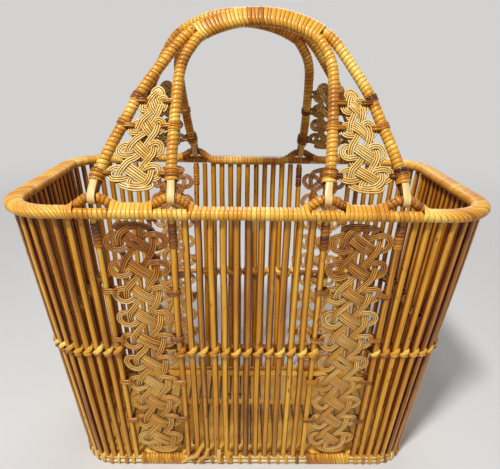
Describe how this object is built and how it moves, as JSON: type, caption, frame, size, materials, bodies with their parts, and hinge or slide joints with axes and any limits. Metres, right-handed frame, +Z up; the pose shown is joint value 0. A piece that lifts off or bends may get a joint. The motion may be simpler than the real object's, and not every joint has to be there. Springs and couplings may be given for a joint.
{
  "type": "rattan basket",
  "caption": "Open rectangular rattan basket with flared sides of round stakes, flat plaited panels front and back, and two arched handles that swing on eyes in the rim.",
  "frame": {"origin": "on the surface it stands on, under the middle of the base", "axes": "+Z up, +X along the length, +Y from front to back"},
  "size_m": [0.4056, 0.2076, 0.4359],
  "materials": {
    "stakes": "varnished golden brown rattan rod",
    "wraps": "glossy golden cane",
    "body_plaits": "satin tan rattan core",
    "handle_plaits": "satin straw rattan core",
    "hooks": "matt pale cane",
    "base_hoops": "satin pale rattan rod",
    "floor": "matt pale split rattan",
    "mid_rail": "satin dark rattan rod"
  },
  "bodies": {
    "basket_body": {"floor": "floor", "base_lower_hoop": "base_hoops", "base_upper_hoop": "base_hoops", "base_wrap_front_left": "wraps", "base_wrap_front_right": "wraps", "base_wrap_back_left": "wraps", "base_wrap_back_right": "wraps", "stakes_front_left_corner": "stakes", "stakes_front_left": "stakes", "stakes_front_middle": "stakes", "stakes_front_right": "stakes", "stakes_front_right_corner": "stakes", "stakes_right_end": "stakes", "stakes_back_right_corner": "stakes", "stakes_back_right": "stakes", "stakes_back_middle": "stakes", "stakes_back_left": "stakes", "stakes_back_left_corner": "stakes", "stakes_left_end": "stakes", "mid_rail": "mid_rail", "plait_front_left": "body_plaits", "plait_front_right": "body_plaits", "plait_back_left": "body_plaits", "plait_back_right": "body_plaits", "rim_inner_rod": "stakes", "rim_outer_rod": "stakes", "rim_wrap_front_left": "wraps", "rim_wrap_front_middle": "wraps", "rim_wrap_front_right": "wraps", "rim_wrap_right_end": "wraps", "rim_wrap_back_right": "wraps", "rim_wrap_back_middle": "wraps", "rim_wrap_back_left": "wraps", "rim_wrap_left_end": "wraps"},
    "front_handle": {"front_handle_outer_rod": "stakes", "front_handle_inner_rod": "stakes", "front_handle_grip_wrap": "wraps", "front_handle_left_plait": "handle_plaits", "front_handle_right_plait": "handle_plaits", "front_handle_left_outer_hook": "hooks", "front_handle_left_inner_hook": "hooks", "front_handle_right_outer_hook": "hooks", "front_handle_right_inner_hook": "hooks"},
    "back_handle": {"back_handle_outer_rod": "stakes", "back_handle_inner_rod": "stakes", "back_handle_grip_wrap": "wraps", "back_handle_left_plait": "handle_plaits", "back_handle_right_plait": "handle_plaits", "back_handle_left_outer_hook": "hooks", "back_handle_left_inner_hook": "hooks", "back_handle_right_outer_hook": "hooks", "back_handle_right_inner_hook": "hooks"}
  },
  "joints": [
    {"name": "front_handle_hinge", "type": "hinge", "parent": "basket_body", "child": "front_handle", "pos_m": [0, -0.09155, 0.295], "axis": [1, 0, 0], "range_deg": [0, 125]},
    {"name": "back_handle_hinge", "type": "hinge", "parent": "basket_body", "child": "back_handle", "pos_m": [0, 0.09155, 0.295], "axis": [-1, 0, 0], "range_deg": [0, 125]}
  ]
}
